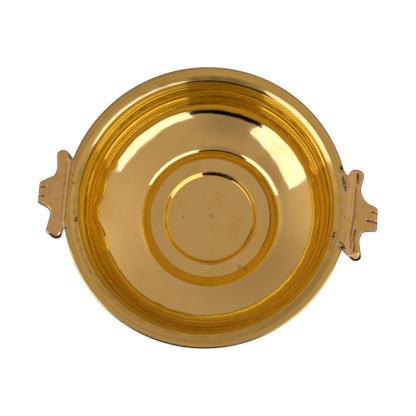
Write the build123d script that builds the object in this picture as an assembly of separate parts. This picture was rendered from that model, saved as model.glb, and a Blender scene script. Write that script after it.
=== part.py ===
"""Turned brass urli bowl with two cast handles brazed into seats on its rim.

Millimetres, +Z up. The origin is on the bowl's axis, at the plane that the foot ring
stands on, and +X points at the right handle.
"""

import math
import os
from dataclasses import dataclass

from build123d import *

# Driving dimensions.
RIM_RADIUS = 125.0  # outside edge of the flat rim: a ten inch bowl
HEIGHT = 72.0  # crown of the rim above the table
MOUTH_RADIUS = 112.4  # inside edge of the rim
RIM_DROP = 1.2  # the rim's crown falls this much to its outside edge
RIM_THICKNESS = 3.6  # at the outside edge
RIM_CHAMFER = 1.0  # under the outside edge
WALL_DEPTH = 40.0  # from the crown to the crease at the foot of the side wall
CREASE_RADIUS = 103.2  # where the side wall meets the dished bottom
DISH_ANGLE = 45.0  # slope of the dish where it leaves the crease, in degrees
DISH_TOP_SHARE = 0.08  # the underside of the dish runs between these shares of its arc
DISH_LOW_SHARE = 0.94
FLOOR_Z = 7.8  # top of the flat ring in the middle of the bowl
GROOVE_OUTER = 62.9  # outside radius of the turned groove round the floor
GROOVE_INNER = 55.3
GROOVE_DEPTH = 2.6
STEP_OUTER = 42.8  # the floor steps down here to the middle disc
STEP_INNER = 39.2
STEP_DEPTH = 3.0
METAL = 2.7  # thickness of the wall and the bottom
FOOT_OUTER = 65.5  # foot ring, under the turned groove
FOOT_INNER = 52.5
FOOT_FLAT = 6.0  # width of the flat that stands on the table

HANDLE_TOP = 71.0  # top face of both handles
HANDLE_THICKNESS = 4.0
HANDLE_EDGE = 0.7  # filed bevel round the top face
SEAT_Z = 70.0  # floor of the seat that is cut into the rim
SEAT_HALF_ANGLE = 15.0  # the web fills this much of the seat each side, in degrees
TACK_ANGLE = 2.0  # length of the braze at an end of the web, in degrees
TACK_WIDTH = 4.0  # how far that braze runs in from the rim's edge
LOBE_REACH = 137.6  # furthest point of the rounded lobes from the bowl's axis
LOBE_END = 39.8  # half the length of a handle
LOBE_ROOT = 125.6  # inner corner of a lobe
NECK_REACH = 134.6  # narrowest place, between lobe and tab
NECK_OFFSET = 21.5
NOTCH_REACH = 122.8  # notch between lobe and rim
NOTCH_OFFSET = 33.0
NOTCH_ROUND = 0.6
LOBE_ROUND_IN = 3.2  # corner radii of the lobes and the neck
LOBE_ROUND_OUT = 4.6
NECK_ROUND = 7.0
HIGH_ROOT = (3.4, 5.2)  # the tab's high side leaves the neck this far out and this far above the tab
HIGH_ROOT_ROUND = 5.0
HIGH_END_ROUND = 3.4
LOW_ROOT = (3.0, 2.2)  # the tab's low side, likewise
LOW_ROOT_ROUND = 2.6
LOW_END_ROUND = 1.4
LOW_SKEW = 0.5  # the low lobe and neck were cast this much further out
OVERLAP = 10.0  # the plate is drawn this far into the rim and then cut to it
OVERLAP_STEP = 3.0
OVERLAP_ROUND = 1.5
FILE_CUT_LENGTH = 6.5  # two file cuts decorate the end of the tab
FILE_CUT_WIDTH = 0.9
FILE_CUT_DEPTH = 0.7

FILLET_LEG = 2.6  # braze fillet under the rim
FILLET_SETBACK = 1.0  # the fillet stops short of the web's ends, in degrees


@dataclass
class Handle:
    """What differs between the two hand-fitted handles."""

    angle: float  # direction of the handle about the bowl's axis, in degrees
    reach: float  # end of the tab from the bowl's axis
    tab_high: float  # side of the tab, measured along the rim
    tab_low: float
    seat_radius: float  # inside radius of the seat in the rim
    tack_ends: tuple  # ends of the web that show a braze: 1 high, -1 low
    file_cuts: tuple  # places of the two cuts in the end of the tab, along the rim


RIGHT = Handle(
    angle=-0.7,
    reach=150.2,
    tab_high=6.2,
    tab_low=-12.6,
    seat_radius=118.6,
    tack_ends=(1, -1),
    file_cuts=(1.8, -6.0),
)
LEFT = Handle(
    angle=178.9,
    reach=147.9,
    tab_high=9.4,
    tab_low=-9.4,
    seat_radius=123.0,
    tack_ends=(1,),
    file_cuts=(3.2, -4.4),
)


def section(*edges):
    """Closes a line in the X-Z plane and fills it."""
    return make_face(Plane.XZ * Wire(edges))


def turned(outline):
    """Turns a section about the bowl's axis."""
    return revolve(outline, Axis.Z, 360)


def ring_sector(inner, outer, low, high, start, end):
    """A piece of a flat ring between two angles, in degrees."""
    half = section(
        Line((inner, low), (outer, low)),
        Line((outer, low), (outer, high)),
        Line((outer, high), (inner, high)),
        Line((inner, high), (inner, low)),
    )
    return Rot(0, 0, start) * revolve(half, Axis.Z, end - start)


def dish_end():
    """Angle at which the dish arrives at the groove, from the slope of its chord."""
    run = CREASE_RADIUS - GROOVE_OUTER
    rise = HEIGHT - WALL_DEPTH - FLOOR_Z
    chord = math.degrees(math.atan2(rise, run))
    return 2 * chord - DISH_ANGLE


def dish_point(offset, share):
    """A point on the dish's arc, moved outwards by offset; share runs from 0 at the crease to 1."""
    end = dish_end()
    run = CREASE_RADIUS - GROOVE_OUTER
    rise = HEIGHT - WALL_DEPTH - FLOOR_Z
    sweep = math.radians(DISH_ANGLE - end)
    radius = math.hypot(run, rise) / (2 * math.sin(sweep / 2))
    centre_r = CREASE_RADIUS - radius * math.sin(math.radians(DISH_ANGLE))
    centre_z = HEIGHT - WALL_DEPTH + radius * math.cos(math.radians(DISH_ANGLE))
    angle = math.radians(DISH_ANGLE + (end - DISH_ANGLE) * share)
    reach = radius + offset
    return (centre_r + reach * math.sin(angle), centre_z - reach * math.cos(angle))


def bowl_blank():
    """The whole turned bowl, before its rim is cut for the handles."""
    crown_r = (MOUTH_RADIUS + RIM_RADIUS) / 2
    mouth_z = HEIGHT - RIM_DROP
    edge_z = HEIGHT - RIM_DROP
    under_z = edge_z - RIM_THICKNESS
    land_z = under_z + RIM_CHAMFER
    crease = (CREASE_RADIUS, HEIGHT - WALL_DEPTH)
    wall_slope = (MOUTH_RADIUS - CREASE_RADIUS) / (mouth_z - crease[1])
    wall_metal = METAL * math.hypot(1, wall_slope)
    groove_floor = FLOOR_Z - GROOVE_DEPTH
    disc_z = FLOOR_Z - STEP_DEPTH
    disc_under = disc_z - METAL
    foot_middle = (FOOT_OUTER + FOOT_INNER) / 2
    foot_out = foot_middle + FOOT_FLAT / 2
    foot_in = foot_middle - FOOT_FLAT / 2

    edge_top = (RIM_RADIUS, edge_z)
    edge_low = (RIM_RADIUS, land_z)
    under_edge = (RIM_RADIUS - RIM_CHAMFER, under_z)
    neck_r = MOUTH_RADIUS - wall_slope * (mouth_z - under_z) + wall_metal
    under_neck = (neck_r, under_z)
    outer_crease = (CREASE_RADIUS + wall_metal, crease[1])
    dish_top = dish_point(METAL, DISH_TOP_SHARE)
    dish_low = dish_point(METAL, DISH_LOW_SHARE)
    groove_mid = (GROOVE_OUTER + GROOVE_INNER) / 2

    return turned(
        section(
            Line((0, disc_z), (STEP_INNER, disc_z)),
            Line((STEP_INNER, disc_z), (STEP_OUTER, FLOOR_Z)),
            Line((STEP_OUTER, FLOOR_Z), (GROOVE_INNER, FLOOR_Z)),
            ThreePointArc((GROOVE_INNER, FLOOR_Z), (groove_mid, groove_floor), (GROOVE_OUTER, FLOOR_Z)),
            ThreePointArc((GROOVE_OUTER, FLOOR_Z), dish_point(0, 0.5), crease),
            Line(crease, (MOUTH_RADIUS, mouth_z)),
            ThreePointArc((MOUTH_RADIUS, mouth_z), (crown_r, HEIGHT), edge_top),
            Line(edge_top, edge_low),
            Line(edge_low, under_edge),
            Line(under_edge, under_neck),
            Line(under_neck, outer_crease),
            Line(outer_crease, dish_top),
            ThreePointArc(dish_top, dish_point(METAL, 0.5), dish_low),
            Line(dish_low, (FOOT_OUTER, disc_under)),
            Line((FOOT_OUTER, disc_under), (foot_out, 0)),
            Line((foot_out, 0), (foot_in, 0)),
            Line((foot_in, 0), (FOOT_INNER, disc_under)),
            Line((FOOT_INNER, disc_under), (0, disc_under)),
            Line((0, disc_under), (0, disc_z)),
        )
    )


def seat(handle):
    """The space that is cut out of the rim for a handle's web."""
    half = SEAT_HALF_ANGLE
    return ring_sector(
        handle.seat_radius, RIM_RADIUS + 1, SEAT_Z, HEIGHT + 1, handle.angle - half, handle.angle + half
    )


def tack_space(handle, end):
    """The space of the braze at one end of the web: end is 1 or -1."""
    near = handle.angle + end * SEAT_HALF_ANGLE
    far = near + end * TACK_ANGLE
    return ring_sector(
        RIM_RADIUS - TACK_WIDTH, RIM_RADIUS + 1, SEAT_Z, HEIGHT + 1, min(near, far), max(near, far)
    )


def plate_outline(handle):
    """The handle seen from above, pointing along +X: two lobes and a tab between them."""
    inside = RIM_RADIUS - OVERLAP
    inside_offset = NOTCH_OFFSET - OVERLAP_STEP
    corners = [
        (inside, inside_offset, OVERLAP_ROUND),
        (NOTCH_REACH, NOTCH_OFFSET, NOTCH_ROUND),
        (LOBE_ROOT, LOBE_END, LOBE_ROUND_IN),
        (LOBE_REACH, LOBE_END, LOBE_ROUND_OUT),
        (NECK_REACH, NECK_OFFSET, NECK_ROUND),
        (NECK_REACH + HIGH_ROOT[0], handle.tab_high + HIGH_ROOT[1], HIGH_ROOT_ROUND),
        (handle.reach, handle.tab_high, HIGH_END_ROUND),
        (handle.reach, handle.tab_low, LOW_END_ROUND),
        (NECK_REACH + LOW_ROOT[0], handle.tab_low - LOW_ROOT[1], LOW_ROOT_ROUND),
        (NECK_REACH + LOW_SKEW, -NECK_OFFSET, NECK_ROUND),
        (LOBE_REACH + LOW_SKEW, -LOBE_END, LOBE_ROUND_OUT),
        (LOBE_ROOT, -LOBE_END, LOBE_ROUND_IN),
        (NOTCH_REACH, -NOTCH_OFFSET, NOTCH_ROUND),
        (inside, -inside_offset, OVERLAP_ROUND),
    ]
    points = [(x, y) for x, y, radius in corners]
    radii = [radius for x, y, radius in corners]
    return make_face(FilletPolyline(*points, radius=radii, close=True))


def file_cut(handle, offset):
    """A file cut that runs in from the end of the tab."""
    half = FILE_CUT_WIDTH / 2
    profile = make_face(Polyline((-half, 0), (half, 0), (0, -FILE_CUT_DEPTH), close=True))
    across = Plane((handle.reach - FILE_CUT_LENGTH, offset, HANDLE_TOP), x_dir=(0, 1, 0), z_dir=(1, 0, 0))
    return extrude(across * profile, FILE_CUT_LENGTH + 1)


def handle_casting(handle, blank):
    """Plate with lobes and tab, and the web that lies in the rim's seat."""
    plate = extrude(plate_outline(handle), HANDLE_THICKNESS)
    plate = Pos(0, 0, HANDLE_TOP - HANDLE_THICKNESS) * plate
    plate = chamfer(plate.faces().sort_by(Axis.Z)[-1].edges(), HANDLE_EDGE)
    for offset in handle.file_cuts:
        plate -= file_cut(handle, offset)
    plate = Rot(0, 0, handle.angle) * plate
    plate -= Cylinder(RIM_RADIUS, 3 * HEIGHT)
    web = blank & seat(handle)
    return plate + web


def braze_fillet(handle):
    """Braze run in the corner under the rim, along the handle's inner face."""
    under_z = HEIGHT - RIM_DROP - RIM_THICKNESS
    land_z = under_z + RIM_CHAMFER
    plate_low = HANDLE_TOP - HANDLE_THICKNESS
    corner = section(
        Line((RIM_RADIUS, land_z), (RIM_RADIUS - RIM_CHAMFER, under_z)),
        Line((RIM_RADIUS - RIM_CHAMFER, under_z), (RIM_RADIUS - FILLET_LEG, under_z)),
        Line((RIM_RADIUS - FILLET_LEG, under_z), (RIM_RADIUS, plate_low)),
        Line((RIM_RADIUS, plate_low), (RIM_RADIUS, land_z)),
    )
    half = SEAT_HALF_ANGLE - FILLET_SETBACK
    return Rot(0, 0, handle.angle - half) * revolve(corner, Axis.Z, 2 * half)


def bowl():
    """The bowl with both seats cut into its rim."""
    shape = blank
    for handle in (LEFT, RIGHT):
        shape -= seat(handle)
        for end in handle.tack_ends:
            shape -= tack_space(handle, end)
    return shape


def braze_tacks(handle):
    """Braze that fills the ends of the seat, ground level with the rim."""
    pieces = []
    for end in handle.tack_ends:
        pieces += (blank & tack_space(handle, end)).solids()
    return Compound(children=pieces)


blank = bowl_blank()
nodes = {
    "bowl": bowl(),
    "handle_left": handle_casting(LEFT, blank),
    "handle_right": handle_casting(RIGHT, blank),
    "braze_fillet_left": braze_fillet(LEFT),
    "braze_fillet_right": braze_fillet(RIGHT),
    "braze_tack_left": braze_tacks(LEFT),
    "braze_tacks_right": braze_tacks(RIGHT),
}

os.makedirs("parts", exist_ok=True)
for name, shape in nodes.items():
    export_step(shape, f"parts/{name}.step")
    print(name, round(shape.volume), "mm3")
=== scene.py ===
# %% [markdown]
# # A turned brass urli bowl
# An urli is a wide, shallow bowl that holds water, flowers and floating lamps. This one is cast in brass,
# turned on a lathe inside and out, and buffed. Two cast handles are brazed into its rim.
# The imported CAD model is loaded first. It fixes every size and place, and each piece replaces a CAD node.

# %% Load the frame
import math

import bpy
import numpy as np
from mathutils import Matrix, Vector, noise


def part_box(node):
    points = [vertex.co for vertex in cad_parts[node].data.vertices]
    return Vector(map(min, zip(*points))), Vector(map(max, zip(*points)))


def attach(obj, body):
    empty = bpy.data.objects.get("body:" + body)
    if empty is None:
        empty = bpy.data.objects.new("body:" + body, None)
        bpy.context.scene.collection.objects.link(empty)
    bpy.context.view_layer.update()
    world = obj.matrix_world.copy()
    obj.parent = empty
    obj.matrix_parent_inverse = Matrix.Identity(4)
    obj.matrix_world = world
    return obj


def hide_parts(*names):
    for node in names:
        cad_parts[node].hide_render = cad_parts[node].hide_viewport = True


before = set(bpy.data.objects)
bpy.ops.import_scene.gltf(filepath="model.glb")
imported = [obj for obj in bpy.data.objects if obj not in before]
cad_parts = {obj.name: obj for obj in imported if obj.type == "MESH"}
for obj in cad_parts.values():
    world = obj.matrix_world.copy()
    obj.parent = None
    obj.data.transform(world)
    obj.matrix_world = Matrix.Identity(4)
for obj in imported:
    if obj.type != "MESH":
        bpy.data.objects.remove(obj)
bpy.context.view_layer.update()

MM = 0.001
RIM_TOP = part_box("bowl")[1].z
RIM_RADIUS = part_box("bowl")[1].x
print("rim height and radius in mm:", round(RIM_TOP / MM, 1), round(RIM_RADIUS / MM, 1))

# %% [markdown]
# ## Helpers for modelling
# Every operator acts on what is selected, so each step starts by letting go of everything.
# A line is drawn as by hand: one vertex is extruded from point to point in edit mode.

# %% Modelling helpers
def select_only(piece):
    """Lets go of everything, then picks one object."""
    bpy.ops.object.select_all(action="DESELECT")
    piece.select_set(True)
    bpy.context.view_layer.objects.active = piece


def edit_all():
    """Enters edit mode with everything selected."""
    bpy.ops.object.mode_set(mode="EDIT")
    bpy.ops.mesh.select_all(action="SELECT")


def close_edit():
    """Points all faces outwards and leaves edit mode."""
    bpy.ops.mesh.select_all(action="SELECT")
    bpy.ops.mesh.normals_make_consistent(inside=False)
    bpy.ops.object.mode_set(mode="OBJECT")


def draw_line(name, points):
    """Draws joined edges through points in metres."""
    bpy.ops.object.select_all(action="DESELECT")
    bpy.ops.mesh.primitive_plane_add(size=MM)
    piece = bpy.context.object
    piece.name = name
    piece.data.name = name
    edit_all()
    bpy.ops.mesh.merge(type="CENTER")
    bpy.ops.transform.translate(value=points[0])
    for last, point in zip(points, points[1:]):
        step = Vector(point) - Vector(last)
        bpy.ops.mesh.extrude_region_move(TRANSFORM_OT_translate={"value": step})
    bpy.ops.object.mode_set(mode="OBJECT")
    return piece


def spin_selected(steps, angle):
    """Spins the selected edges about the bowl's axis, in edit mode. A positive angle turns clockwise."""
    bpy.ops.mesh.spin(steps=steps, angle=angle, center=(0, 0, 0), axis=(0, 0, 1))
    bpy.ops.mesh.select_all(action="SELECT")


def apply_modifier(piece, kind, **settings):
    """Adds a modifier with its settings and applies it at once."""
    select_only(piece)
    modifier = piece.modifiers.new(kind.title(), kind)
    for key, value in settings.items():
        setattr(modifier, key, value)
    bpy.ops.object.modifier_apply(modifier=modifier.name)


# %% [markdown]
# ## Helpers for colour and nodes
# A colour is picked as a hex value, which is sRGB, while a shader works in linear light, so one
# function turns it. Another adds a shader node with its settings and its links in one go. The kinds that come
# back in every finish have a function each. It returns (node, output), ready for the next one to link to.

# %% Colour and node helpers
def to_linear(hex_colour):
    """An sRGB hex colour as linear red, green, blue and alpha."""
    parts = [int(hex_colour[i:i + 2], 16) / 255 for i in (1, 3, 5)]
    return tuple(c / 12.92 if c <= 0.04045 else ((c + 0.055) / 1.055) ** 2.4 for c in parts) + (1.0,)


def add(tree, kind, settings=None, links=None):
    """Adds a node: settings by socket or property, links as {socket: (node, output)}."""
    node = tree.nodes.new(kind)
    for key, value in (settings or {}).items():
        if isinstance(key, int) or key in node.inputs:
            node.inputs[key].default_value = value
        else:
            setattr(node, key, value)
    for key, (source, output) in (links or {}).items():
        tree.links.new(source.outputs[output], node.inputs[key])
    return node


def attribute(tree, name):
    """A value that was kept on the vertices."""
    return add(tree, "ShaderNodeAttribute", {"attribute_name": name}), "Fac"


def clouds(tree, size, detail, vector):
    """A noise with features about so many mm wide."""
    settings = {"Scale": 1 / (size * MM), "Detail": detail}
    return add(tree, "ShaderNodeTexNoise", settings, {"Vector": vector}), 0


def remap(tree, value, low, high, to_low=0.0, to_high=1.0):
    """Turns the range low to high into the range to_low to to_high, and goes no further."""
    settings = {"From Min": low, "From Max": high, "To Min": to_low, "To Max": to_high}
    return add(tree, "ShaderNodeMapRange", settings, {"Value": value}), 0


def blend(tree, share, first, second):
    """Mixes two colours, each a hex value or the output of a node."""
    settings = {"data_type": "RGBA"}
    links = {"Factor": share}
    for socket, colour in ((6, first), (7, second)):
        if isinstance(colour, str):
            settings[socket] = to_linear(colour)
        else:
            links[socket] = colour
    return add(tree, "ShaderNodeMix", settings, links), 2


def largest(tree, values):
    """The largest of several values at each place."""
    most = values[0]
    for value in values[1:]:
        most = add(tree, "ShaderNodeMath", {"operation": "MAXIMUM"}, {0: most, 1: value}), 0
    return most


def add_share(tree, base, share, gain):
    """A base value with so much of a share added to it."""
    return add(tree, "ShaderNodeMath", {"operation": "MULTIPLY_ADD", 1: gain}, {0: share, 2: base}), 0


def new_material(name):
    """A material with an empty node tree, and the texture coordinates in it."""
    material = bpy.data.materials.new(name)
    material.use_nodes = True
    tree = material.node_tree
    tree.nodes.clear()
    return material, tree, add(tree, "ShaderNodeTexCoord")


def metal_surface(tree, colour, rough, bump, coat=None):
    """Bare metal with its colour, roughness and bump, and a coat where it has one."""
    shader = add(tree, "ShaderNodeBsdfPrincipled", {"Metallic": 1.0, **(coat or {})},
                 {"Base Color": colour, "Roughness": rough, "Normal": (bump, 0)})
    add(tree, "ShaderNodeOutputMaterial", {}, {"Surface": (shader, "BSDF")})


def smoothstep(low, high, value):
    """0 below low, 1 above high, and a smooth rise between."""
    share = min(1.0, max(0.0, (value - low) / (high - low)))
    return share * share * (3 - 2 * share)


def near(value, centre, width):
    """1 at the centre and 0 beyond the width, with a smooth fall."""
    return 1 - smoothstep(0, width, abs(value - centre))


# %% [markdown]
# ## Camera
# The bowl is looked at from almost straight above, a little from the front and the right, with a long lens
# so that the rim stays round. The camera is placed by two angles and aimed at the middle of the rim.

# %% Camera
VIEW_DISTANCE = 1.2  # m
VIEW_TILT = math.radians(10.9)
VIEW_TURN = math.radians(26.0)
VIEW_ROLL = math.radians(4.2)
LENS = 118.9  # mm
LENS_SHIFT = (0.0074, -0.0069)
AIM = Vector((0, 0, RIM_TOP))

toward_camera = Vector((
    math.sin(VIEW_TILT) * math.sin(VIEW_TURN),
    -math.sin(VIEW_TILT) * math.cos(VIEW_TURN),
    math.cos(VIEW_TILT),
))
up_hint = Vector((-math.sin(VIEW_ROLL), math.cos(VIEW_ROLL), 0))
side = up_hint.cross(toward_camera).normalized()
up = toward_camera.cross(side)
camera = bpy.data.objects.new("camera", bpy.data.cameras.new("camera"))
bpy.context.scene.collection.objects.link(camera)
facing = Matrix((side, up, toward_camera)).transposed().to_4x4()
camera.matrix_world = Matrix.Translation(AIM + toward_camera * VIEW_DISTANCE) @ facing
camera.data.lens = LENS
camera.data.shift_x, camera.data.shift_y = LENS_SHIFT
bpy.context.scene.camera = camera
bpy.context.scene.view_settings.view_transform = "Standard"
print("camera at", [round(v, 3) for v in camera.location])

# %% [markdown]
# ## Soft boxes and a dark card
# Polished metal shows the room more than itself, so the lights are shapes that it can mirror. Two soft boxes
# stand in front, left and right. Between them a black card makes the dark gap that gives the metal its depth.
# Their light is cool, which takes the yellow out of the brightest places on the brass. They show in the metal
# but not to the camera, so they never stand in the way of a view.

# %% Lights
LIGHT_DISTANCE = 1.6  # m
BOX_RADIANCE = 4.6
BOX_COLOUR = (0.21, 0.225, 1.0)
SOFT_BOXES = {  # azimuth, elevation, width and height, in degrees as seen from the bowl
    "soft_box_left": (237.3, 24, 40, 34),
    "soft_box_right": (137.8, 22, 56, 32),
}
CARD = (192.8, 17, 45, 22)  # the same four
CARD_DISTANCE = 1.3


def toward(azimuth, elevation):
    """Direction from the bowl, in degrees: azimuth turns clockwise from the back, seen from above."""
    a = math.radians(azimuth)
    e = math.radians(elevation)
    return Vector((math.sin(a) * math.cos(e), math.cos(a) * math.cos(e), math.sin(e)))


def span(degrees, distance):
    """Width of something that is seen under an angle from a distance."""
    return 2 * distance * math.tan(math.radians(degrees / 2))


def soft_box(name, azimuth, elevation, width, height):
    """A rectangular area light that faces the bowl, its width and height given as seen from the bowl."""
    light = bpy.data.lights.new(name, "AREA")
    light.shape = "RECTANGLE"
    light.size = span(width, LIGHT_DISTANCE)
    light.size_y = span(height, LIGHT_DISTANCE)
    light.energy = BOX_RADIANCE * math.pi * light.size * light.size_y
    light.color = BOX_COLOUR
    lamp = bpy.data.objects.new(name, light)
    bpy.context.scene.collection.objects.link(lamp)
    direction = toward(azimuth, elevation)
    lamp.location = AIM + direction * LIGHT_DISTANCE
    lamp.rotation_euler = direction.to_track_quat("Z", "Y").to_euler()
    lamp.visible_camera = False
    print(name, "is", round(light.size, 2), "by", round(light.size_y, 2), "m")


for name, box in SOFT_BOXES.items():
    soft_box(name, *box)

card_azimuth, card_elevation, card_width, card_height = CARD
card_direction = toward(card_azimuth, card_elevation)
bpy.ops.object.select_all(action="DESELECT")
bpy.ops.mesh.primitive_plane_add(size=1)
card = bpy.context.object
card.name = "front_card"
card.matrix_world = (
    Matrix.Translation(AIM + card_direction * CARD_DISTANCE)
    @ card_direction.to_track_quat("Z", "Y").to_matrix().to_4x4()
    @ Matrix.Diagonal((span(card_width, CARD_DISTANCE), span(card_height, CARD_DISTANCE), 1, 1))
)
black = bpy.data.materials.new("black_card")
black.use_nodes = True
card_shader = black.node_tree.nodes["Principled BSDF"]
card_shader.inputs["Base Color"].default_value = to_linear("#0C0B0A")
card_shader.inputs["Roughness"].default_value = 1.0
card_shader.inputs["Specular IOR Level"].default_value = 0.0
card.data.materials.append(black)
card.visible_camera = False
print("lamps:", len(bpy.data.lights))

# %% [markdown]
# ## The room and the floor
# The rest of the room is an uneven cool grey, more neutral near the horizon: paler and darker patches keep
# the metal lively without lamps. Each patch is a soft spot round a direction, added to the strength of the
# world's light. Behind the bowl the camera sees a plain pale backdrop instead.
# The floor is plain white paper that glows a little, so that it stays white under the cool light.

# %% Room and floor
ROOM_COLOUR = (0.465, 0.362, 0.78, 1)
HORIZON_COLOUR = (0.42, 0.35, 0.43, 1)
HORIZON_BAND = 0.22  # sine of the elevation where the horizon's grey has gone
BACKDROP_COLOUR = (0.86, 0.86, 0.87, 1)
ROOM_PATCHES = [  # azimuth and elevation in degrees, spread, gain
    (78, 38, 0.42, 0.30),
    (314, 40, 0.50, -0.24),
    (246, 54, 0.15, -0.26),
    (272, 20, 0.32, 0.50),
    (194, 36, 0.24, -0.36),
    (56, 14, 0.25, 0.35),
]
FLOOR_SIZE = 6.0
FLOOR_GLOW = 0.92

world = bpy.data.worlds.new("studio")
bpy.context.scene.world = world
world.use_nodes = True
room = world.node_tree
room.nodes.clear()
ray = add(room, "ShaderNodeTexCoord")
strength = add(room, "ShaderNodeValue")
strength.outputs[0].default_value = 1.0
for azimuth, elevation, spread, gain in ROOM_PATCHES:
    gap = add(room, "ShaderNodeVectorMath", {"operation": "DISTANCE", 1: toward(azimuth, elevation)},
              {0: (ray, "Generated")})
    patch, _ = remap(room, (gap, "Value"), 2 * spread, 0.0, 0.0, gain)
    patch.interpolation_type = "SMOOTHSTEP"
    strength = add(room, "ShaderNodeMath", {"operation": "ADD"}, {0: (strength, 0), 1: (patch, 0)})
height = add(room, "ShaderNodeSeparateXYZ", {}, {0: (ray, "Generated")})
above = remap(room, (height, "Z"), 0.0, HORIZON_BAND)
tint = add(room, "ShaderNodeMix", {"data_type": "RGBA", 6: HORIZON_COLOUR, 7: ROOM_COLOUR}, {"Factor": above})
walls = add(room, "ShaderNodeBackground", {}, {"Color": (tint, 2), "Strength": (strength, 0)})
backdrop = add(room, "ShaderNodeBackground", {"Color": BACKDROP_COLOUR})
path = add(room, "ShaderNodeLightPath")
seen = add(room, "ShaderNodeMixShader", {},
           {0: (path, "Is Camera Ray"), 1: (walls, 0), 2: (backdrop, 0)})
add(room, "ShaderNodeOutputWorld", {}, {"Surface": (seen, 0)})

bpy.ops.object.select_all(action="DESELECT")
bpy.ops.mesh.primitive_plane_add(size=FLOOR_SIZE)
floor = bpy.context.object
floor.name = "floor"
paper = bpy.data.materials.new("white_paper")
paper.use_nodes = True
floor_shader = paper.node_tree.nodes["Principled BSDF"]
floor_shader.inputs["Base Color"].default_value = to_linear("#808080")
floor_shader.inputs["Roughness"].default_value = 0.9
floor_shader.inputs["Specular IOR Level"].default_value = 0.0
floor_shader.inputs["Emission Color"].default_value = (1, 1, 1, 1)
floor_shader.inputs["Emission Strength"].default_value = FLOOR_GLOW
floor.data.materials.append(paper)
print("patches in the room:", len(ROOM_PATCHES))

# %% [markdown]
# ## The bowl's section
# A lathe turns the bowl about its axis, so one line, from the middle of the floor over the rim and back
# underneath, holds its whole shape. A turner thinks of how steep the metal runs, and what a mirror shows
# depends on that slope, so the inside is given as slopes at a few radii, and the line is added up from them.
# Lengths are in mm, and a pair is a radius and a height, unless it is said to be a slope.

# %% Section of the inside
DISC_Z = 4.8
DISC_RADIUS = 37.5
RING_EDGE = 54.4
CREASE = (103.3, 33.0)
CREASE_TURN = [(0.5, 0.35), (0.75, 1.0)]  # from the end of the dish into the wall
WALL_TOP = (112.4, 68.5)
WALL_TURN = (0.25, 0.35)  # from the top of the wall into the rim
SLOPE_STEP = 0.8
DISC_POINTS = 13
RING_POINTS = 10
WALL_POINTS = 72

# Stations of the inside, each a radius and a slope in degrees.
STEP_SLOPES = [(DISC_RADIUS, 0), (39.0, 2), (39.5, 36), (42.4, 41), (43.0, 12), (43.8, 0)]
GROOVE_SLOPES = [
    (RING_EDGE, 0), (54.9, -10), (55.3, -52), (57.0, -50), (57.5, -10), (57.9, 30), (58.3, 47), (60.9, 50),
    (61.5, 44), (63.2, 36), (66.5, 25),
]
DISH_SLOPES = [(66.5, 25), (69.0, 23), (90.0, 34), (94.0, 39), (96.5, 47), (99.0, 58), (101.4, 66)]
RIM_SLOPES = [
    (112.65, 46), (113.2, 40), (117.0, 28), (118.4, 12), (119.4, 3), (121.4, -3), (123.3, -15), (124.3, -34),
    (124.8, -52),
]


def slope_curve(start, stations):
    """Points of a curve given by its slope: stations are (radius, slope in degrees)."""
    r, z = start
    points = [(r, z)]
    for (r0, s0), (r1, s1) in zip(stations, stations[1:]):
        steps = max(2, round((r1 - r0) / SLOPE_STEP))
        for i in range(steps):
            slope = math.radians(s0 + (s1 - s0) * (i + 0.5) / steps)
            r += (r1 - r0) / steps
            z += math.tan(slope) * (r1 - r0) / steps
            points.append((r, z))
    return points


def straight(start, end, count):
    """Points on a straight line, without its start."""
    return [tuple(a + (b - a) * i / count for a, b in zip(start, end)) for i in range(1, count + 1)]


def inside_line():
    """From the middle of the floor to the outer edge of the rim, in mm."""
    points = straight((0, DISC_Z), (DISC_RADIUS, DISC_Z), DISC_POINTS)
    points = [(0, DISC_Z)] + points[:-1]
    points += slope_curve((DISC_RADIUS, DISC_Z), STEP_SLOPES)
    points += straight(points[-1], (RING_EDGE, points[-1][1]), RING_POINTS)
    points += slope_curve(points[-1], GROOVE_SLOPES)[1:]
    points += slope_curve(points[-1], DISH_SLOPES)[1:]
    dish_r, dish_z = points[-1]
    points += [(dish_r + outwards, dish_z + upwards) for outwards, upwards in CREASE_TURN]
    points += straight(points[-1], WALL_TOP, WALL_POINTS)
    points += slope_curve((WALL_TOP[0] + WALL_TURN[0], WALL_TOP[1] + WALL_TURN[1]), RIM_SLOPES)
    return points


inside = inside_line()
rise = RIM_TOP / MM - max(z for r, z in inside)
print("inside line has", len(inside), "points; its crown is off the frame by", round(rise, 2), "mm")

# %% [markdown]
# ## The outside of the section
# Outside, the rim's edge is left about 2 mm thick and the rim thickens towards the wall. The wall follows
# the inside, and the bowl stands on a foot ring under the groove. Those corners are few, so they are plain
# points.

# %% Spin the bowl
RIM_EDGE = RIM_RADIUS / MM
EDGE_CORNERS = [(0.0, 0.4), (0.0, 1.6), (0.3, 2.0), (1.0, 2.2)]  # inwards and down from the rim's edge
UNDER_RIM = (116.8, 67.2)
RIM_ROOT = [(115.9, 66.8), (115.4, 66.0)]
WALL_FOOT = (105.6, 35.2)
DISH_UNDER = [
    (104.4, 32.4), (102.0, 28.4), (98.5, 24.2), (93.0, 19.4), (87.0, 15.2), (80.0, 10.9), (73.0, 7.3),
    (68.0, 5.0),
]
FOOT_RING = [
    (66.2, 3.9), (65.2, 2.6), (64.4, 1.1), (63.4, 0.25), (62.0, 0.0), (56.0, 0.0), (54.6, 0.3), (53.6, 1.2),
    (52.4, 2.2), (50.5, 2.6),
]
UNDER_MIDDLE = [(46.0, 2.6), (40.0, 2.3), (30.0, 2.2), (20.0, 2.1), (10.0, 2.1), (0.0, 2.1)]
UNDER_RIM_POINTS = 4
OUTER_WALL_POINTS = 14
BOWL_STEPS = 430


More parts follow.
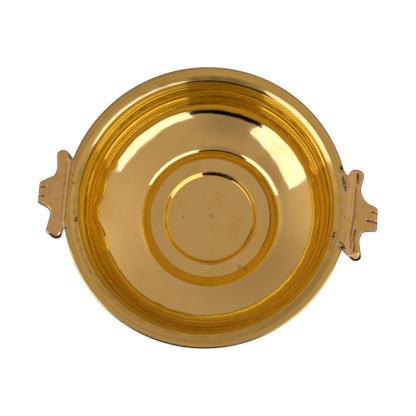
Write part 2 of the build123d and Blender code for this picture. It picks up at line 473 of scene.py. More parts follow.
def outside_line(edge_z):
    """From the outer edge of the rim back to the middle of the underside, in mm."""
    points = [(RIM_EDGE - inwards, edge_z - down) for inwards, down in EDGE_CORNERS]
    points += straight(points[-1], UNDER_RIM, UNDER_RIM_POINTS) + RIM_ROOT
    points += straight(points[-1], WALL_FOOT, OUTER_WALL_POINTS)
    return points + DISH_UNDER + FOOT_RING + UNDER_MIDDLE


line = inside + outside_line(inside[-1][1])
bowl = draw_line("bowl_brass", [(r * MM, 0, z * MM) for r, z in line])
edit_all()
spin_selected(BOWL_STEPS, 2 * math.pi)
bpy.ops.mesh.remove_doubles(threshold=0.01 * MM)
close_edit()
bpy.ops.object.shade_smooth()
print("bowl faces:", len(bowl.data.polygons))

# %% [markdown]
# ## The turner's hand
# A perfect spin looks machined. On the real bowl the tool chattered and drifted, so the wall is full of
# uneven rings, and the crease at its foot wanders. Buffing wax stays in the cuts and dries nearly black, and
# the cuts are darkened further as painted shade. The cuts are pushed into the vertices, and the wax with
# that painted shade is kept as an attribute, which the brass reads later.
# A stretch of the bowl is given by two clock angles and the softness of its ends, all in degrees.

# %% Angles and cuts
def clock(x, y):
    """Degrees clockwise from the back of the bowl, seen from above."""
    return math.degrees(math.atan2(x, y)) % 360


def near_clock(value, start, end, soft):
    """1 between two clock angles, with soft ends."""
    middle = (start + end) / 2
    half = (end - start) / 2
    gap = abs((value - middle + 180) % 360 - 180)
    return 1 - smoothstep(half - soft, half + soft, gap)


def noise_at(x, y, z, size):
    """A smooth noise with hills about so many mm wide."""
    return noise.noise(Vector((x / size, y / size, z / size)))


WALL_WAVES = [(10.6, 0.26, 0.6), (6.7, 0.18, 2.1), (4.3, 0.06, 1.0)]  # pitch and depth in mm, phase
TOOL_DRIFT = [(1, 0.9, 0.8), (2, 0.5, 0.0)]  # waves in one turn, reach in mm, phase
CREASE_DENTS = [(2.4, (259, 273, 6)), (1.0, (282, 290, 5))]  # mm, stretch
CREASE_WANDER = (0.2, 0.5, (235, 310, 25))  # mm all round, and so much more in a stretch


def wall_cut(depth, angle):
    """How far the tool has cut outwards into the side wall, in mm, at a depth below the rim."""
    turned = math.radians(angle)
    d = depth + sum(reach * math.sin(waves * turned + phase) for waves, reach, phase in TOOL_DRIFT)
    ragged = 1 + 0.35 * noise.noise(Vector((d / 5, math.cos(turned) * 2, math.sin(turned) * 2)))
    return ragged * sum(deep * math.sin(2 * math.pi * d / pitch + phase) for pitch, deep, phase in WALL_WAVES)


def crease_dent(x, y, z, angle):
    """Where the dish's edge bulges outwards: most at the left, where the tool dug in twice."""
    dent = sum(reach * near_clock(angle, *stretch) for reach, stretch in CREASE_DENTS)
    everywhere, more, stretch = CREASE_WANDER
    wander = everywhere + more * near_clock(angle, *stretch)
    return (dent + wander * noise.noise(Vector((x / 11, y / 11, 7)))) * near(z, CREASE[1], 10)


print("deepest wall cut in mm:", round(max(wall_cut(d, 90) for d in range(35)), 2))

# %% [markdown]
# ## Wax, film and painted shade
# Dark rings are painted in the groove, on the step and on the rim: painted shade and painted reflections of
# the dark card, partly wax. The rim's edge is painted black as painted shade, blackest where it mirrors the
# dark card and lighter where it mirrors the soft boxes. Each ring is a row in a list: radius and half its
# width in mm, how dark it is, and the stretch that it covers. A film is rows of how dark it is and a stretch.

# %% Rings of wax and painted reflection
ALL_ROUND = (-20, 380, 1)
ROLL_MIDDLE = 114.6  # radius of the rim's inner roll
ROLL_REACH = 4.5
# Rings in the groove and on the step: painted shade, and painted reflections of the dark card, partly wax.
RINGS = [
    (57.4, 0.7, 0.30, ALL_ROUND),
    (57.4, 0.7, 0.80, (326, 416, 15)),
    (55.2, 0.7, 0.15, ALL_ROUND),
    (55.2, 0.7, 0.80, (46, 121, 10)),
    (41.4, 2.6, 0.95, (352, 394, 5)),
    (43.4, 0.8, 0.80, (166, 186, 12)),
    (39.4, 0.9, 0.85, (100, 124, 5)),
]
# Short dark arcs on the rim: painted reflections of the dark card.
RIM_RINGS = [
    (119.6, 0.9, 0.45, (288, 350, 12)),
    (117.4, 0.8, 0.35, (300, 345, 12)),
    (118.6, 0.9, 0.40, (112, 160, 12)),
    (121.6, 0.9, 0.35, (60, 100, 14)),
    (116.0, 0.9, 0.35, (190, 235, 14)),
]
# The rim's outer edge is painted dark all round as painted shade, blackest at the front, where it mirrors
# the dark card, and lighter where it mirrors the soft boxes.
RIM_EDGE_SHADE = [(0.82, ALL_ROUND), (0.15, (151, 218, 8)), (-0.55, (108, 148, 10)), (-0.55, (220, 254, 10))]
# The rim's inner roll has a thin film all round, with painted reflection on it: darker at the back, where it
# mirrors the dark card, and least at the right and the left of the back, where it mirrors the soft boxes.
ROLL_FILM_AND_SHADE = [
    (0.24, ALL_ROUND), (0.16, (334, 372, 12)), (0.20, (221, 281, 20)), (0.14, (78, 105, 10)),
    (-0.20, (26, 66, 12)), (-0.18, (288, 321, 10)),
]
# Painted shade on the wall: darker at the back and at the front.
WALL_SHADE = [(0.34, (334, 378, 22)), (0.34, (161, 248, 25))]
# Painted shade in the corner where the wall meets the rim, darkest from the left round the back.
MOUTH_SHADE = [(0.25, ALL_ROUND), (0.6, (266, 391, 20))]


def stretch_darkness(rows, angle):
    """The sum of the rows at a clock angle."""
    return sum(darkness * near_clock(angle, *stretch) for darkness, stretch in rows)


def ring_darkness(rings, r, angle, fine):
    """The darkest of the rings that pass through a place."""
    shares = [near(r, radius, width) * darkness * near_clock(angle, *stretch)
              for radius, width, darkness, stretch in rings]
    return max(shares) * min(1, 0.5 + fine)


def inside_darkness(r, z, angle, ragged, fine):
    """Darkness inside the bowl, outside the cuts of the wall: painted shade in the crease and at the wall's
    mouth, painted reflections in the rings and on the inner roll, partly wax and film.
    """
    crease = near(r, CREASE[0] - 1.0, 1.0) * near(z, CREASE[1] - 0.5, 4.5) * min(1, 0.35 + ragged)
    mouth = near(z, WALL_TOP[1], 1.6) * near(r, WALL_TOP[0] + 0.1, 1.2) * stretch_darkness(MOUTH_SHADE, angle)
    roll = near(r, ROLL_MIDDLE, ROLL_REACH) * stretch_darkness(ROLL_FILM_AND_SHADE, angle) * (0.5 + 0.8 * ragged)
    return max(crease, mouth, roll, ring_darkness(RINGS + RIM_RINGS, r, angle, fine))


print("rings of wax:", len(RINGS), "in the bowl and", len(RIM_RINGS), "on the rim")

# %% [markdown]
# ## Working the metal
# Each vertex is moved a little: cuts in the wall, the wandering crease, slow hills left by hand buffing, and
# the two shallow seats that are cut in the rim for the handles. Four attributes are kept for the brass: wax
# with painted shade and painted reflections, the rougher surface outside, amber lacquer in the corners, which
# is also painted shade there, and the freshly cut wall.

# %% Work the metal
SEATS = [(-14.6, 16.4, 118.6), (164.6, 191.9, 120.6)]  # from and to in degrees about the axis, radius inside
SEAT_MARGIN = 0.4  # mm, like all that follow
SEAT_DEPTH = 1.3
SEAT_FROM = 69.0  # only the rim's upper face is let down
CAST_BELOW = 66.0  # outside, the surface under the rim is left rougher
MOUTH_RADIUS = 113.0  # radius where the wall ends
CREASE_HEIGHTS = (20, 44)  # where the crease can bulge
EDGE_FROM = 66.5  # height from which the rim's edge is painted dark
EDGE_RADII = (123.1, 124.5)  # where that painted shade begins, and where it is full
WAX_AND_SHADE_CUTS = (0.12, 0.36)  # depth of a cut in which wax and painted shade start, and in which they are full
HILL_HEIGHT = 0.10
ON_AXIS = 0.1  # a vertex nearer to the axis than this has no angle of its own


def in_seat(x, y, r):
    """True where a handle's web is let into the rim."""
    angle = math.degrees(math.atan2(y, x)) % 360
    return any(r > reach + SEAT_MARGIN and (low <= angle <= high or low <= angle - 360 <= high)
               for low, high, reach in SEATS)


def lacquer_and_shade(r, z, fine):
    """Where old lacquer has yellowed, deepened to amber as painted shade: on the step, in the groove and
    along the crease.
    """
    step = near(r, 41.0, 3.2) * (0.7 + 0.3 * fine)
    groove = 0.8 * near(r, 58.5, 4.5)
    crease = near(r, CREASE[0] - 0.8, 3.0) * near(z, CREASE[1], 9)
    return max(step, groove, crease, 0)


def work_wall(z, angle, ragged):
    """The wall's share at a height and an angle, how far the tool cut outwards, and the darkness of wax and
    painted shade.
    """
    depth = WALL_TOP[1] - z
    on_wall = smoothstep(0, 2.5, depth) * smoothstep(CREASE[1] + 1, CREASE[1] + 3, z)
    cut = wall_cut(depth, angle)
    # Wax in the cuts, darkened further as painted shade.
    wax_and_shade_line = 0.75 * smoothstep(*WAX_AND_SHADE_CUTS, cut) * on_wall * min(1, max(0, ragged + 0.25))
    # Painted shade, darker at the back and the front of the wall.
    back_and_front_shade = max(darkness * near_clock(angle, *stretch) for darkness, stretch in WALL_SHADE)
    return on_wall, cut * on_wall, max(wax_and_shade_line, back_and_front_shade)


vertex_count = len(bowl.data.vertices)
marks = {name: np.zeros(vertex_count) for name in ("wax_and_shade", "cast", "amber", "wall")}
normals = [v.normal.copy() for v in bowl.data.vertices]
for v, normal in zip(bowl.data.vertices, normals):
    x, y, z = v.co / MM
    r = math.hypot(x, y)
    inner = normal.z > 0
    marks["cast"][v.index] = 0.0 if inner or z > CAST_BELOW else 1.0
    if r < ON_AXIS:
        continue
    angle = clock(x, y)
    ragged = 0.5 + 0.9 * noise.noise(Vector((x / 7, y / 7, z / 3)))
    fine = 0.5 + 0.9 * noise.noise(Vector((x / 2.2, y / 2.2, z / 1.2)))
    on_wall = move = dark = 0.0
    if inner and CREASE[1] + 1 < z < WALL_TOP[1] and r < MOUTH_RADIUS:
        on_wall, move, dark = work_wall(z, angle, ragged)
    seated = z > SEAT_FROM and in_seat(x, y, r)
    if inner:
        dark = max(dark, inside_darkness(r, z, angle, ragged, fine))
        marks["amber"][v.index] = min(1, lacquer_and_shade(r, z, fine))
        marks["wall"][v.index] = on_wall
    # Painted shade and painted reflection on the rim's outer edge.
    if z > EDGE_FROM and not seated:
        dark = max(dark, smoothstep(*EDGE_RADII, r) * stretch_darkness(RIM_EDGE_SHADE, angle))
    if inner and CREASE_HEIGHTS[0] < z < CREASE_HEIGHTS[1]:
        move += crease_dent(x, y, z, angle)
    hills = noise_at(x, y, z, 24) + 0.4 * noise_at(x, y, z, 9)
    # The foot stays flat and the rim stays nearly even, since the handles lie on it.
    free = smoothstep(0.2, 3, z) * (1 - 0.8 * smoothstep(117, 119, r))
    out = Vector((x / r, y / r, 0))
    v.co = (Vector((x, y, z)) + out * move + normal * hills * HILL_HEIGHT * free) * MM
    if seated:
        v.co.z -= SEAT_DEPTH * MM
    marks["wax_and_shade"][v.index] = min(1, dark)
for name, values in marks.items():
    bowl.data.attributes.new(name, "FLOAT", "POINT").data.foreach_set("value", values)
print("bowl box in mm:", [round(c / MM, 2) for c in bowl.dimensions])

# %% [markdown]
# ## Patterns for brass
# A noise on plain coordinates makes clouds. Fed with the radius, the height and a slowed angle instead, the
# same noise runs in rings, as tool marks do. Small blemishes sit where they are put, and a noise makes their
# edges ragged.

# %% Ring coordinates and blemishes
RING_WIND = 2.2  # mm of pattern for each radian about the axis
WOBBLE = 1.6  # mm, size and reach of the raggedness of a blemish
BLEMISH_CORE = 0.35  # share of a blemish that has its full darkness

BLEMISHES = [  # x, y, z and size in mm, darkness
    (117.0, 40.0, 71.5, 3.4, 0.95),
    (118.0, 23.0, 71.5, 1.5, 0.8),
    (114.0, -17.5, 70.0, 2.4, 0.9),
    (113.6, -20.5, 69.8, 2.8, 0.95),
    (113.2, -23.5, 69.6, 2.4, 0.9),
    (-112.6, -18.0, 69.5, 2.4, 0.9),
    (-113.2, -20.5, 69.8, 2.6, 0.95),
    (-118.8, 19.5, 71.6, 1.6, 0.7),
    (-117.3, 12.5, 71.6, 1.8, 0.85),
    (1.0, 2.0, 4.8, 2.2, 0.3),
    (-24.5, -1.0, 4.8, 1.2, 0.5),
    (-96.0, -8.0, 26.0, 2.2, 0.6),
    (-97.5, -14.0, 27.0, 1.6, 0.6),
    (30.5, -44.0, 7.6, 3.0, 0.35),
    (36.0, -46.0, 6.4, 2.4, 0.5),
]


def lathe_coordinates(tree, place):
    """The radius, and coordinates in which a noise runs in rings, each as the output of a node."""
    parts = add(tree, "ShaderNodeSeparateXYZ", {}, {0: (place, "Object")})
    flat = add(tree, "ShaderNodeCombineXYZ", {}, {"X": (parts, "X"), "Y": (parts, "Y")})
    radius = add(tree, "ShaderNodeVectorMath", {"operation": "LENGTH"}, {0: (flat, "Vector")})
    angle = add(tree, "ShaderNodeMath", {"operation": "ARCTAN2"}, {0: (parts, "Y"), 1: (parts, "X")})
    slow = add(tree, "ShaderNodeMath", {"operation": "MULTIPLY", 1: RING_WIND * MM}, {0: (angle, 0)})
    rings = add(tree, "ShaderNodeCombineXYZ", {},
                {"X": (radius, "Value"), "Y": (slow, "Value"), "Z": (parts, "Z")})
    return (radius, "Value"), (rings, 0)


def blemish_darkness(tree, place):
    """Darkness of each listed blemish."""
    half = WOBBLE / 2
    wobble = clouds(tree, WOBBLE, 2.0, (place, "Object"))
    shift = add(tree, "ShaderNodeVectorMath", {"operation": "SCALE", "Scale": WOBBLE * MM},
                {0: (wobble[0], "Color")})
    moved = add(tree, "ShaderNodeVectorMath", {"operation": "ADD"}, {0: (place, "Object"), 1: (shift, 0)})
    shares = []
    for x, y, z, size, darkness in BLEMISHES:
        centre = ((x + half) * MM, (y + half) * MM, (z + half) * MM)
        gap = add(tree, "ShaderNodeVectorMath", {"operation": "DISTANCE", 1: centre}, {0: (moved, 0)})
        shares.append(remap(tree, (gap, "Value"), size * MM, BLEMISH_CORE * size * MM, 0.0, darkness))
    return shares


# %% [markdown]
# ## Turned and buffed brass
# Brass is copper with zinc. Turned and then buffed with wax it is a warm mirror, so metallic is 1, roughness
# is very low, and a trace of wax is a thin coat. Light that is mirrored many times in the groove and the wall
# deepens to amber by itself. Stains, yellowed lacquer with painted shade in the recesses, and black wax with
# painted shade and painted reflections are mixed over the clean metal in that order. Outside, the metal is
# duller and browner.

# %% Turned brass
RIM_BLEND = (112.3, 115.0)  # radii where the wall's finish turns into the rim's
STAIN_SIZE = 17  # mm
BAND_SIZE = 3.4  # mm, the dull bands on the rim
SPECK_SPACING = 9  # mm
TURNING_SIZE = 1.3  # mm: tool marks are finer, but then they would not show at all
OUTER_TURNING_SIZE = 2  # mm: outside, the turning was left coarser


def brass_colour(tree, place, on_rim, turning):
    """Clean, stained and yellowed brass; the yellowing is also painted shade in the recesses."""
    clean = blend(tree, turning, "#FDE15E", "#F5D554")
    rim = blend(tree, on_rim, clean, "#F8D84E")
    cut = blend(tree, attribute(tree, "wall"), rim, "#FDE644")
    stains = remap(tree, clouds(tree, STAIN_SIZE, 4.0, (place, "Object")), 0.52, 0.78, 0.0, 0.5)
    stained = blend(tree, stains, cut, "#F0C630")
    # Amber: yellowed lacquer, and painted shade on the step, in the groove and along the crease.
    return blend(tree, attribute(tree, "amber"), stained, "#FACE22")


def brass_dirt_and_shade(tree, place, on_rim, rings):
    """Wax with painted shade and painted reflections, dull bands on the rim, pin-head specks and blemishes:
    the darkest counts.
    """
    bands = remap(tree, clouds(tree, BAND_SIZE, 2.0, rings), 0.5, 0.72, 0.0, 0.42)
    banded = add(tree, "ShaderNodeMath", {"operation": "MULTIPLY"}, {0: bands, 1: on_rim}), 0
    specks = add(tree, "ShaderNodeTexVoronoi", {"Scale": 1 / (SPECK_SPACING * MM)},
                 {"Vector": (place, "Object")})
    specked = remap(tree, (specks, "Distance"), 0.055, 0.03, 0.0, 0.6)
    return largest(tree, [attribute(tree, "wax_and_shade"), banded, *blemish_darkness(tree, place), specked])


def turned_brass():
    """Cast brass, turned and buffed: a warm mirror, with dried wax and painted shade in its grooves."""
    material, tree, place = new_material("turned_and_buffed_brass")
    radius, rings = lathe_coordinates(tree, place)
    on_rim = remap(tree, radius, RIM_BLEND[0] * MM, RIM_BLEND[1] * MM)
    turning = clouds(tree, TURNING_SIZE, 3.0, rings)
    # The dark brown is wax, painted shade and painted reflections.
    waxed_and_shaded = blend(tree, brass_dirt_and_shade(tree, place, on_rim, rings), brass_colour(tree, place, on_rim, turning),
                  "#2A1602")
    as_cast = attribute(tree, "cast")
    outside = blend(tree, clouds(tree, OUTER_TURNING_SIZE, 3.0, rings), "#E2BC66", "#B4883E")
    colour = blend(tree, as_cast, waxed_and_shaded, outside)
    sheen = remap(tree, turning, 0.3, 0.7, 0.04, 0.10)
    rough = add_share(tree, add_share(tree, sheen, on_rim, 0.07), as_cast, 0.14)
    bump = add(tree, "ShaderNodeBump", {"Strength": 0.10, "Distance": 0.1 * MM}, {"Height": turning})
    metal_surface(tree, colour, rough, bump, {"Coat Weight": 0.08, "Coat Roughness": 0.05})
    return material


bowl.data.materials.append(turned_brass())
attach(bowl, "root")
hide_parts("bowl")
print("bowl finish:", bowl.data.materials[0].name)

# %% [markdown]
# ## Filed satin brass
# The handles are sand-cast in the same brass, then filed by hand and only lightly buffed. The file's strokes
# spread the light, so it is rougher than the bowl and a little pinker. Dirt stays in its cuts, and its edges
# and sides are painted dark as painted shade. The strokes run along the handle, so the noise is stretched
# that way.

# %% Filed brass
BLOTCH_SIZE = 7  # mm
FILE_PITCH = 0.9  # mm, between the cuts of a bastard file
FILE_STRETCH = (1, 0.12, 1)


def filed_brass():
    """Cast brass filed by hand: satin, with dirt where the file left it and painted shade on its edges and
    sides.
    """
    material, tree, place = new_material("filed_satin_brass")
    tone = remap(tree, clouds(tree, BLOTCH_SIZE, 3.0, (place, "Object")), 0.35, 0.65)
    base = blend(tree, tone, "#FED866", "#F6D048")
    along = add(tree, "ShaderNodeMapping", {"Scale": FILE_STRETCH}, {"Vector": (place, "Object")})
    strokes = clouds(tree, FILE_PITCH, 3.0, (along, 0))
    stroked = blend(tree, remap(tree, strokes, 0.5, 0.8, 0.0, 0.35), base, "#B98A45")
    # Dirt in the file's cuts, and painted shade on the edges, the sides and in the valleys.
    dirty_and_shaded = blend(tree, attribute(tree, "grime_and_shade"), stroked, "#1E0F04")
    rough = remap(tree, strokes, 0.0, 1.0, 0.22, 0.36)
    bump = add(tree, "ShaderNodeBump", {"Strength": 0.25, "Distance": 0.15 * MM}, {"Height": strokes})
    metal_surface(tree, dirty_and_shaded, rough, bump)
    return material


filed = filed_brass()
print("handle finish:", filed.name)

# %% [markdown]
# ## The shape of the handles
# Each handle was cast flat, filed to its outline, and brazed into a seat in the rim. Outside the rim it
# spreads into two round lobes with a tab between them, and a web of it lies level with the rim. Both came
# from one pattern, but the file left them different. An outline is its few corners, each with the radius it
# was filed to. It is drawn in the handle's own directions: u points away from the bowl, and v runs
# anticlockwise along the rim.

# %% Handle outlines
HANDLE_TOP = 71.0
HANDLE_LOW = 67.0
ARC_STEP = 0.8  # mm between the points of a rounded corner

RIGHT_CORNERS = [  # u, v, radius
    (119.5, 35.0, 0), (122.6, 32.5, 0.6), (126.8, 39.4, 5), (138.0, 37.0, 5), (134.2, 19.5, 12),
    (139.4, 10.3, 9), (150.1, 5.4, 4), (150.1, -14.7, 1.8), (137.6, -16.0, 3.5), (135.3, -24.0, 12),
    (138.2, -41.0, 4), (131.0, -41.6, 5), (120.4, -32.2, 0),
]
LEFT_CORNERS = [
    (121.5, 27.0, 0), (123.4, 28.6, 1.5), (125.0, 37.2, 4.5), (131.0, 37.2, 4), (138.8, 32.0, 3),
    (135.3, 12.4, 6), (148.0, 6.6, 1.5), (148.0, -12.2, 3), (134.9, -19.2, 5), (133.4, -26.5, 15),
    (135.4, -42.2, 5), (126.4, -42.4, 5), (119.4, -34.2, 0),
]


def rounded(corners):
    """Points on the line through the corners, each rounded by an arc of its own radius."""
    points = [corners[0][:2]]
    for before, corner, after in zip(corners, corners[1:], corners[2:]):
        here = Vector(corner[:2])
        radius = corner[2]
        back = (Vector(before[:2]) - here).normalized()
        ahead = (Vector(after[:2]) - here).normalized()
        half = back.angle(ahead) / 2
        centre = here + (back + ahead).normalized() * radius / math.sin(half)
        tangent = radius / math.tan(half)
        first = here + back * tangent - centre
        last = here + ahead * tangent - centre
        start = math.atan2(first.y, first.x)
        sweep = (math.atan2(last.y, last.x) - start + math.pi) % (2 * math.pi) - math.pi
        count = max(2, round(abs(sweep) * radius / ARC_STEP))
        for i in range(count + 1):
            turn = start + sweep * i / count
            points.append((centre.x + radius * math.cos(turn), centre.y + radius * math.sin(turn)))
    return points + [corners[-1][:2]]


print("outline points:", len(rounded(RIGHT_CORNERS)), "right and", len(rounded(LEFT_CORNERS)), "left")

# %% [markdown]
# ## Marks of the file
# What the file and the hammer left on each handle is a list of strokes: the line that the tool took, the
# width and depth of its cut in mm, and how dark it is painted: dirt in most, painted shade in the right
# handle's fold and beside the left handle's seam. A negative depth is a ridge. A lobe that droops at its end
# was filed off at a slope: from a point, towards a direction, by so many degrees.
# Besides these a handle has its angle about the axis, the radius where its seat begins, the radius up to
# which its web follows the rim, the two between which it drops to the plate, and the web's ends in degrees.

# %% Handle marks
RIGHT = {
    "node": "handle_right", "angle": 0.4, "seat": 118.6, "level": 123.0, "drop": (122.5, 129.0),
    "web": (-15.2, 17.0),
    "corners": RIGHT_CORNERS,
    "strokes": [
        # The fold's valley, painted dark as painted shade.
        ([(130, 22), (130, 1), (127.5, -20), (128, -30)], 1.9, 0.5, 0.5),
        ([(128, 24), (127.5, 1), (125.5, -20), (126, -28)], 1.8, -0.35, 0.0),
        ([(131.5, 35), (131.5, 27)], 2.3, 0.9, 0.85),
        ([(131.7, -14), (130, -23), (131.3, -27.5), (131, -33)], 1.5, 0.8, 1.0),
        ([(144.5, 2), (151, 0.5)], 1.5, 0.9, 1.0),
        ([(141.5, -6), (151, -7.5)], 1.5, 0.9, 1.0),
        ([(124.5, 27), (124, 21.5)], 0.6, 0.4, 0.8),
        ([(121.4, -4), (121.6, -5)], 0.8, 0.4, 0.9),
        ([(140, -5.5), (140.5, -6)], 0.8, 0.5, 0.9),
        ([(118.2, -26.2), (121, -27.5), (123.2, -31.5)], 1.5, 0.6, 1.0),
        ([(118.5, 32), (118.8, 25), (119.8, 22)], 0.8, 0.3, 0.8),
    ],
    "slopes": [((132, -35), 161, 26)],
}
LEFT = {
    "node": "handle_left", "angle": 180.0, "seat": 120.6, "level": 122.0, "drop": (121.9, 126.2),
    "web": (-16.0, 12.5),
    "corners": LEFT_CORNERS,
    "strokes": [
        ([(120.6, -33), (121.9, -8), (122, 20)], 1.1, 0.25, 0.55),
        # The band beside the seam, painted dark as painted shade where the plate dips.
        ([(124.6, -32), (125.4, -8), (125.4, 20)], 3.0, 0.3, 0.3),
        ([(123.6, -38), (121, -34.5)], 2.4, 0.4, 0.8),
        ([(142, 0), (148.5, 0.4)], 0.9, 0.9, 0.9),
        ([(141.5, -8), (148.5, -8.2)], 0.9, 0.9, 0.9),
        ([(136.5, 12.5), (140, 8), (146, 6)], 1.0, 0.5, 0.6),
        ([(134, -12), (136, 0), (134, 10)], 3.2, -0.25, 0.0),
    ],
    "slopes": [((131, 32.5), 352, 30), ((126.5, 30), 290, 22)],
}

crown = [(r, z) for r, z in line if r >= WALL_TOP[0] + 0.2 and z > SEAT_FROM]
crown_r, crown_z = zip(*crown)


def gap_to(points, u, v):
    """Distance of every vertex from a line through points, in mm."""
    best = np.full(u.shape, np.inf)
    for (u0, v0), (u1, v1) in zip(points, points[1:]):
        du, dv = u1 - u0, v1 - v0
        length_squared = du * du + dv * dv + 1e-9
        share = np.clip(((u - u0) * du + (v - v0) * dv) / length_squared, 0, 1)
        best = np.minimum(best, np.hypot(u - u0 - share * du, v - v0 - share * dv))
    return best


def fall(gap, width):
    """1 on a line, 0 beyond its width."""
    s = np.clip(gap / width, 0, 1)
    return 1 - s * s * (3 - 2 * s)


print("strokes:", len(RIGHT["strokes"]), "right and", len(LEFT["strokes"]), "left")

# %% [markdown]
# ## Casting a handle
# The outline is drawn, filled and extruded for the plate. The web is a small rectangle spun along the rim.
# A boolean would leave a hard seam between them, so a voxel remesh melts both into one casting, and a little
# smoothing rounds every edge, as sand casting and buffing do.

# %% Cast a handle
GRAIN = 0.42  # mm, the size of a voxel; the lengths that follow are in mm too
SEAT_FLOOR = 69.6
WEB_TOP = 71.2
WEB_REACH = 126.0
WEB_STEPS = 30
PLATE_OVERLAP = 1.2
RIM_ARC_POINTS = 40


def cast_plate(spec):
    """The plate with its lobes and its tab, closed along the rim by an arc."""
    web_low, web_high = (math.radians(a) for a in spec["web"])
    reach = RIM_EDGE - PLATE_OVERLAP
    rim_arc = [(reach * math.cos(a), reach * math.sin(a))
               for a in np.linspace(web_low, web_high, RIM_ARC_POINTS)]
    ring = rounded(spec["corners"]) + rim_arc[1:-1]
    plate = draw_line(spec["node"] + "_cast", [(u * MM, v * MM, HANDLE_LOW * MM) for u, v in ring])
    edit_all()
    bpy.ops.mesh.edge_face_add()
    thickness = (HANDLE_TOP - HANDLE_LOW) * MM
    bpy.ops.mesh.extrude_region_move(TRANSFORM_OT_translate={"value": (0, 0, thickness)})
    close_edit()
    return plate


def cast_web(spec):
    """The web that lies in the rim's seat."""
    web_low, web_high = (math.radians(a) for a in spec["web"])
    seat = spec["seat"]
    section = [(seat, SEAT_FLOOR), (WEB_REACH, SEAT_FLOOR), (WEB_REACH, WEB_TOP), (seat, WEB_TOP)]
    across, along = math.cos(web_low), math.sin(web_low)
    web = draw_line("web", [(r * MM * across, r * MM * along, z * MM) for r, z in section])
    edit_all()
    bpy.ops.mesh.edge_face_add()
    spin_selected(WEB_STEPS, web_low - web_high)
    close_edit()
    return web


def cast_handle(spec):
    """Plate and web melted together, in the handle's own directions."""
    plate = cast_plate(spec)
    web = cast_web(spec)
    select_only(plate)
    web.select_set(True)
    bpy.ops.object.join()
    apply_modifier(plate, "REMESH", mode="VOXEL", voxel_size=GRAIN * MM)
    apply_modifier(plate, "SMOOTH", factor=0.5, iterations=5)
    return plate


handles = [cast_handle(spec) for spec in (RIGHT, LEFT)]
print("cast:", [(handle.name, len(handle.data.vertices)) for handle in handles])

# %% [markdown]
# ## Filing a handle
# The casting is now filed: its top is laid level with the rim over the web, its edges fall away, the drooping
# lobes are sloped, and each stroke is worked in. All of it only raises or lowers vertices of the top, so the
# mesh stays closed. Then the handle is turned to its place and its turn is applied.

# %% File the handles
EDGE_FALL = 0.75
EDGE_WIDTH = 2.2
PLATE_EDGE_SHADE = (0.75, 1.1)  # darkness and width of the painted shade along the plate's edges
# Painted shade on every side face.
SIDE_SHADE = 0.8
TOP_NORMAL = 0.25  # upward part of the normal above which a vertex is worked as top
SIDE_NORMAL = 0.3  # and below which it is painted dark as a side, a painted shade
PLATE_FROM = 125.5  # radius where the plate begins
WEB_PROUD = 0.12  # how far the web stands above the rim
HAND_WAVES = (7, 2.6)  # width of the hills that the file left
PLATE_HILLS = 0.16  # and their height
WEB_HILLS = 0.05
STROKE_RAGGED = 0.45  # share by which the hills vary a stroke


def file_hills(u, v, seed):
    """Slow hills left by the file, as a height for each vertex."""
    wide, small = HAND_WAVES
    return np.array([
        noise.noise(Vector((a / wide, b / wide, seed))) + 0.5 * noise.noise(Vector((a / small, b / small, 3)))
        for a, b in zip(u, v)
    ])


def file_handle(piece, spec):
    """Lays the web on the rim, rounds the edges, and works the strokes into the top."""
    mesh = piece.data
    co = np.empty(len(mesh.vertices) * 3)
    mesh.vertices.foreach_get("co", co)
    co = co.reshape(-1, 3) / MM
    normal_z = np.array([v.normal.z for v in mesh.vertices])
    u, v, z = co.T
    r = np.hypot(u, v)
    top = normal_z > TOP_NORMAL
    on_plate = r > PLATE_FROM
    edge_gap = gap_to(rounded(spec["corners"]), u, v)
    hills = file_hills(u, v, spec["seat"])
    rim_height = np.interp(np.clip(r, MOUTH_RADIUS, spec["level"]), crown_r, crown_z)
    web_top = rim_height + WEB_PROUD + WEB_HILLS * hills
    plate_top = z - EDGE_FALL * fall(edge_gap, EDGE_WIDTH) * on_plate + PLATE_HILLS * hills
    drop_from, drop_to = spec["drop"]
    outside = 1 - fall(np.clip(u - drop_from, 0, None), drop_to - drop_from)
    lift = np.where(top, web_top * (1 - outside) + plate_top * outside, z)
    for (u0, v0), direction, slope in spec["slopes"]:
        lean = math.radians(direction)
        run = (u - u0) * math.sin(lean) + (v - v0) * math.cos(lean)
        lift -= top * on_plate * math.tan(math.radians(slope)) * np.maximum(run, 0)
    # Painted shade along the plate's edges and on the sides; the strokes then add their darkness.
    dark = PLATE_EDGE_SHADE[0] * fall(edge_gap, PLATE_EDGE_SHADE[1]) * on_plate + SIDE_SHADE * (normal_z < SIDE_NORMAL)
    for points, width, depth, darkness in spec["strokes"]:
        gap = gap_to(points, u, v)
        ragged = 1 + STROKE_RAGGED * hills
        lift -= top * depth * ragged * fall(gap, width)
        dark = np.maximum(dark, darkness * fall(gap, width * 0.8) * np.clip(ragged, 0, 1.4))
    co[:, 2] = lift
    mesh.vertices.foreach_set("co", (co * MM).ravel())
    grime_and_shade = mesh.attributes.new("grime_and_shade", "FLOAT", "POINT")
    grime_and_shade.data.foreach_set("value", np.clip(dark, 0, 1))
    mesh.update()


for handle, spec in zip(handles, (RIGHT, LEFT)):
    file_handle(handle, spec)
    handle.rotation_euler = (0, 0, math.radians(spec["angle"]))
    select_only(handle)
    bpy.ops.object.transform_apply(location=False, rotation=True, scale=False)
    bpy.ops.object.shade_smooth()
    handle.data.materials.append(filed)
    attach(handle, "root")
    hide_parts(spec["node"])
    print(handle.name, len(handle.data.polygons), "faces, box in mm",
          [round(c / MM, 1) for c in handle.dimensions])

# %% [markdown]
# ## Brazing metal
# Brazing brass has more zinc than cast brass, so it froze paler and greyer, with burnt flux round it. It is
# a poured metal: smooth where it ran clean, and rough and dark where flux was caught in it. One noise, with
# lumps about 2 mm wide, sets its colour, its roughness and its bump together.

# %% Braze finish
BRAZE_GRAIN = 1.8  # mm


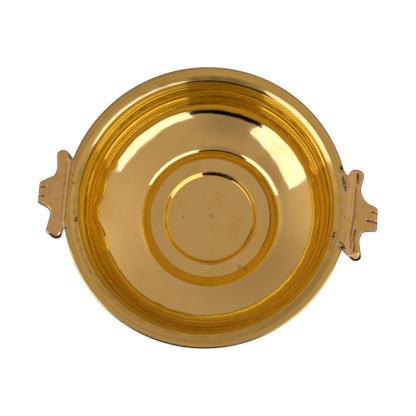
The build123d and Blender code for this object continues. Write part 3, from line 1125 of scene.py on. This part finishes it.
def braze_metal():
    """Brazing metal as it froze, with burnt flux in it."""
    material, tree, place = new_material("braze_and_flux")
    lumps = clouds(tree, BRAZE_GRAIN, 4.0, (place, "Object"))
    flux = remap(tree, lumps, 0.40, 0.58)
    colour = blend(tree, flux, "#D0C07C", "#4A3620")
    rough = remap(tree, flux, 0.0, 1.0, 0.25, 0.6)
    bump = add(tree, "ShaderNodeBump", {"Strength": 0.4, "Distance": 0.3 * MM}, {"Height": lumps})
    metal_surface(tree, colour, rough, bump)
    return material


braze = braze_metal()
print("braze finish:", braze.name)

# %% [markdown]
# ## Braze lumps and beads
# At the ends of the seats the braze shows as small lumps, and under the rim it runs as a bead in the corner.
# A lump is a ball, stretched and then pushed out of shape by a smooth noise. A bead is a small ring of points
# spun along the rim and closed at its ends.

# %% Braze pieces
LUMP_GRAIN = (1.3, 0.3)  # mm, how wide and how high its own lumps are
BEAD_GRAIN = (3.0, 0.7)
BEAD_RADIUS = 1.25
BEAD_HEIGHT = 67.5
BEAD_INSET = 0.7  # from the rim's edge
BEAD_HALF_ANGLE = 14
BEAD_SIDES = 20
BEAD_STEPS = 90
RIGHT_LUMPS = [  # x, y, z, length, width and height in mm, turn in degrees
    (119.0, 29.0, 72.2, 4.0, 10.0, 1.2, 14),
    (120.8, 22.0, 72.1, 3.0, 9.0, 1.1, 6),
    (116.8, 36.4, 72.0, 5.2, 1.9, 1.4, 16),
    (118.6, -30.0, 72.1, 4.6, 2.2, 1.5, -35),
    (121.0, -30.4, 72.0, 3.2, 4.6, 1.5, 10),
]
LEFT_LUMPS = [
    (-121.4, -25.8, 71.6, 3.8, 4.8, 1.8, 20),
    (-119.8, -22.0, 71.9, 1.8, 5.0, 1.3, -12),
    (-120.2, -29.6, 70.8, 3.2, 4.2, 1.8, 20),
]


def rough_up(piece, size, height):
    """Pushes every vertex in or out by a smooth noise, to look poured and not machined. Both in mm."""
    for v in piece.data.vertices:
        v.co += v.normal * noise.noise(v.co / (size * MM)) * height * MM


def braze_lumps(name, lumps):
    """Lumps of braze, joined into one piece."""
    bpy.ops.object.select_all(action="DESELECT")
    pieces = []
    for x, y, z, length, width, height, turn in lumps:
        bpy.ops.mesh.primitive_ico_sphere_add(subdivisions=5, radius=0.5, location=(x * MM, y * MM, z * MM))
        lump = bpy.context.object
        lump.scale = (length * MM, width * MM, height * MM)
        lump.rotation_euler = (0, 0, math.radians(turn))
        bpy.ops.object.transform_apply(location=True, rotation=True, scale=True)
        pieces.append(lump)
    for lump in pieces:
        lump.select_set(True)
    bpy.context.view_layer.objects.active = pieces[0]
    bpy.ops.object.join()
    piece = bpy.context.object
    piece.name = name
    rough_up(piece, *LUMP_GRAIN)
    bpy.ops.object.shade_smooth()
    return piece


def braze_bead(name, angle):
    """A bead of braze under the rim, along one handle."""
    bpy.ops.object.select_all(action="DESELECT")
    start = math.radians(angle + BEAD_HALF_ANGLE)
    reach = (RIM_EDGE - BEAD_INSET) * MM
    place = (reach * math.cos(start), reach * math.sin(start), BEAD_HEIGHT * MM)
    bpy.ops.mesh.primitive_circle_add(vertices=BEAD_SIDES, radius=BEAD_RADIUS * MM, location=place,
                                      rotation=(math.pi / 2, 0, start))
    piece = bpy.context.object
    piece.name = name
    bpy.ops.object.transform_apply(location=True, rotation=True, scale=True)
    edit_all()
    spin_selected(BEAD_STEPS, math.radians(2 * BEAD_HALF_ANGLE))
    bpy.ops.mesh.fill_holes(sides=0)
    close_edit()
    rough_up(piece, *BEAD_GRAIN)
    bpy.ops.object.shade_smooth()
    return piece


brazes = {
    "braze_tacks_right": braze_lumps("braze_tacks_right_metal", RIGHT_LUMPS),
    "braze_tack_left": braze_lumps("braze_tack_left_metal", LEFT_LUMPS),
    "braze_fillet_right": braze_bead("braze_fillet_right_metal", RIGHT["angle"]),
    "braze_fillet_left": braze_bead("braze_fillet_left_metal", LEFT["angle"]),
}
for node, piece in brazes.items():
    piece.data.materials.append(braze)
    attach(piece, "root")
    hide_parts(node)
    print(piece.name, len(piece.data.polygons), "faces")
